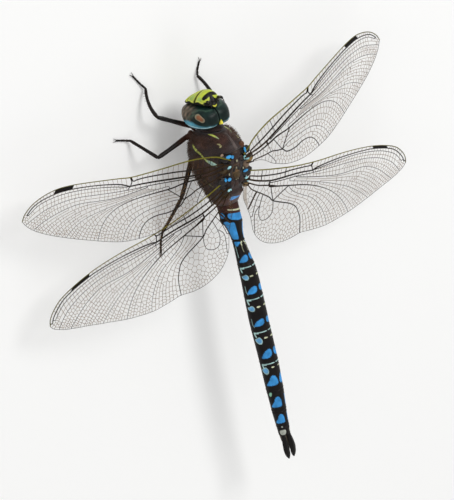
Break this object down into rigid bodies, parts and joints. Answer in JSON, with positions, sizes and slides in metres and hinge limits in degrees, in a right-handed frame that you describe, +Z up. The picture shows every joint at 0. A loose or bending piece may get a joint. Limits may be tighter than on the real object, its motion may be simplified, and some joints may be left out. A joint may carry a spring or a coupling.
{
  "type": "dragonfly, a male hawker",
  "caption": "Life-size still model of a blue-spotted hawker dragonfly resting on its feet, wings spread flat to the sides and drooping a little.",
  "frame": {"origin": "middle of the animal's box, at the level its feet stand on", "axes": "+Z up from the floor, +Y from head to tail, +X to the animal's left"},
  "size_m": [0.0926, 0.0796, 0.0151],
  "materials": {
    "eye": "glossy dark teal with a blue rear rim",
    "face": "satin yellow-green with a black T and black seams",
    "mouth": "satin brown",
    "thorax": "dull brown with fine hair, narrow yellow-green stripes and blue wing-base spots",
    "abdomen": "satin black-brown with blue spots",
    "claspers": "satin black",
    "legs": "glossy black-brown",
    "wing": "clear, faintly smoky membrane with dark veins"
  },
  "bodies": {
    "root": {"face": "face", "head": "mouth", "eye_left": "eye", "eye_right": "eye", "prothorax": "thorax", "thorax": "thorax", "abdomen_1": "abdomen", "abdomen_2": "abdomen", "abdomen_3": "abdomen", "abdomen_4": "abdomen", "abdomen_5": "abdomen", "abdomen_6": "abdomen", "abdomen_7": "abdomen", "abdomen_8": "abdomen", "abdomen_9": "abdomen", "abdomen_10": "abdomen", "epiproct": "claspers", "antenna_left": "legs", "cercus_left": "claspers", "forewing_left": "wing", "hindwing_left": "wing", "antenna_right": "legs", "cercus_right": "claspers", "forewing_right": "wing", "hindwing_right": "wing", "fore_left_femur": "legs", "fore_left_tibia": "legs", "fore_left_tarsus": "legs", "fore_right_femur": "legs", "fore_right_tibia": "legs", "fore_right_tarsus": "legs", "mid_left_femur": "legs", "mid_left_tibia": "legs", "mid_left_tarsus": "legs", "mid_right_femur": "legs", "mid_right_tibia": "legs", "mid_right_tarsus": "legs", "hind_left_femur": "legs", "hind_left_tibia": "legs", "hind_left_tarsus": "legs", "hind_right_femur": "legs", "hind_right_tibia": "legs", "hind_right_tarsus": "legs"}
  },
  "joints": []
}
